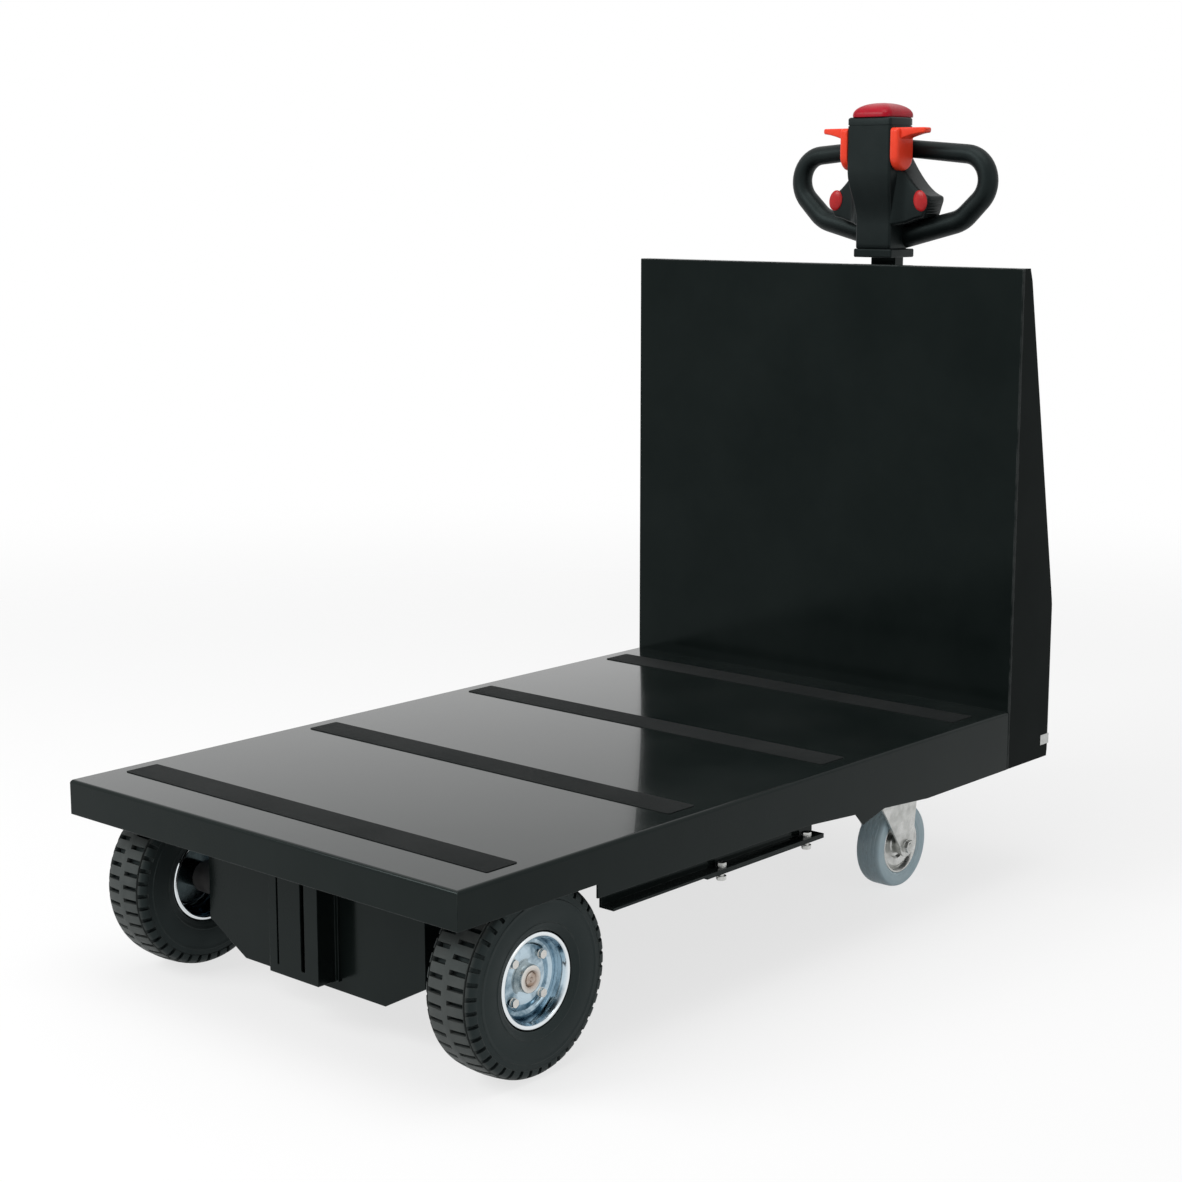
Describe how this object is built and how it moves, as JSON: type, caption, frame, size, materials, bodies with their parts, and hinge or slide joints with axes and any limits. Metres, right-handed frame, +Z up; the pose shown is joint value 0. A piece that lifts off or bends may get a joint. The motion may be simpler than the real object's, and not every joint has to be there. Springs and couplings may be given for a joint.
{
  "type": "electric platform tow tug",
  "caption": "Battery-driven platform tug: low folded deck, tall backrest column, driven pneumatic wheels at the front, swivel castors at the rear and a tiller head with looped grips.",
  "frame": {"origin": "on the floor at the middle of the overall box", "axes": "+Z up, +Y from the loading end of the deck towards the column and the operator, +X to the right seen from the loading end"},
  "size_m": [0.7, 1.327, 1.136],
  "materials": {
    "black_powder_coat": "gloss black powder coat, softly mottled, with worn edges",
    "grit_strip": "matt anti-slip grit tape",
    "bright_zinc": "bright zinc plating",
    "chrome_rim": "chromed pressed steel",
    "black_tyre": "moulded black rubber with block tread",
    "grey_rubber": "grey non-marking rubber",
    "axle_paint": "dark painted cast housing",
    "motor_shell": "black painted motor shell",
    "battery_case": "moulded battery case",
    "head_plastic": "fine-grained black moulding",
    "orange_plastic": "orange-red moulding",
    "crimson_plastic": "crimson cushioned button",
    "plain_plate": "blank light plate",
    "gauge_face": "black bezel with a plain dial"
  },
  "bodies": {
    "frame": {"deck_pan": "black_powder_coat", "deck_beams": "black_powder_coat", "grip_strips": "grit_strip", "front_apron": "black_powder_coat", "hitch_box": "black_powder_coat", "side_rails": "black_powder_coat", "battery_tray": "black_powder_coat", "battery_block": "battery_case", "tray_bolts": "bright_zinc", "axle_housing": "axle_paint", "drive_motor": "motor_shell", "axle_hangers": "black_powder_coat", "castor_carrier": "black_powder_coat", "backrest_panel": "black_powder_coat", "column_cover": "black_powder_coat", "column_floor": "black_powder_coat", "label_plate": "plain_plate", "key_switch": "bright_zinc", "charge_gauge": "gauge_face", "mast": "black_powder_coat", "mast_foot": "black_powder_coat", "mast_stay": "black_powder_coat", "head_base": "head_plastic", "head_body": "head_plastic", "head_pods": "head_plastic", "side_buttons": "orange_plastic", "reversing_button": "crimson_plastic", "thumb_levers": "orange_plastic", "grip_left": "head_plastic", "grip_right": "head_plastic", "castor_plate_left": "bright_zinc", "castor_plate_right": "bright_zinc"},
    "drive_wheel_left": {"drive_tyre_left": "black_tyre", "drive_rim_left": "chrome_rim", "drive_hub_left": "bright_zinc"},
    "castor_swivel_left": {"castor_fork_left": "bright_zinc", "castor_axle_left": "bright_zinc"},
    "castor_wheel_left": {"castor_tyre_left": "grey_rubber", "castor_core_left": "bright_zinc"},
    "drive_wheel_right": {"drive_tyre_right": "black_tyre", "drive_rim_right": "chrome_rim", "drive_hub_right": "bright_zinc"},
    "castor_swivel_right": {"castor_fork_right": "bright_zinc", "castor_axle_right": "bright_zinc"},
    "castor_wheel_right": {"castor_tyre_right": "grey_rubber", "castor_core_right": "bright_zinc"}
  },
  "joints": [
    {"name": "drive_wheel_left_spin", "type": "hinge", "parent": "frame", "child": "drive_wheel_left", "pos_m": [-0.294, -0.5135, 0.118], "axis": [1, 0, 0], "continuous": true},
    {"name": "drive_wheel_right_spin", "type": "hinge", "parent": "frame", "child": "drive_wheel_right", "pos_m": [0.294, -0.5135, 0.118], "axis": [1, 0, 0], "continuous": true},
    {"name": "castor_left_swivel", "type": "hinge", "parent": "frame", "child": "castor_swivel_left", "pos_m": [-0.212, 0.3445, 0.153], "axis": [0, 0, 1], "continuous": true},
    {"name": "castor_left_roll", "type": "hinge", "parent": "castor_swivel_left", "child": "castor_wheel_left", "pos_m": [-0.212, 0.3695, 0.0625], "axis": [1, 0, 0], "continuous": true},
    {"name": "castor_right_swivel", "type": "hinge", "parent": "frame", "child": "castor_swivel_right", "pos_m": [0.212, 0.3445, 0.153], "axis": [0, 0, 1], "continuous": true},
    {"name": "castor_right_roll", "type": "hinge", "parent": "castor_swivel_right", "child": "castor_wheel_right", "pos_m": [0.212, 0.3695, 0.0625], "axis": [1, 0, 0], "continuous": true}
  ]
}
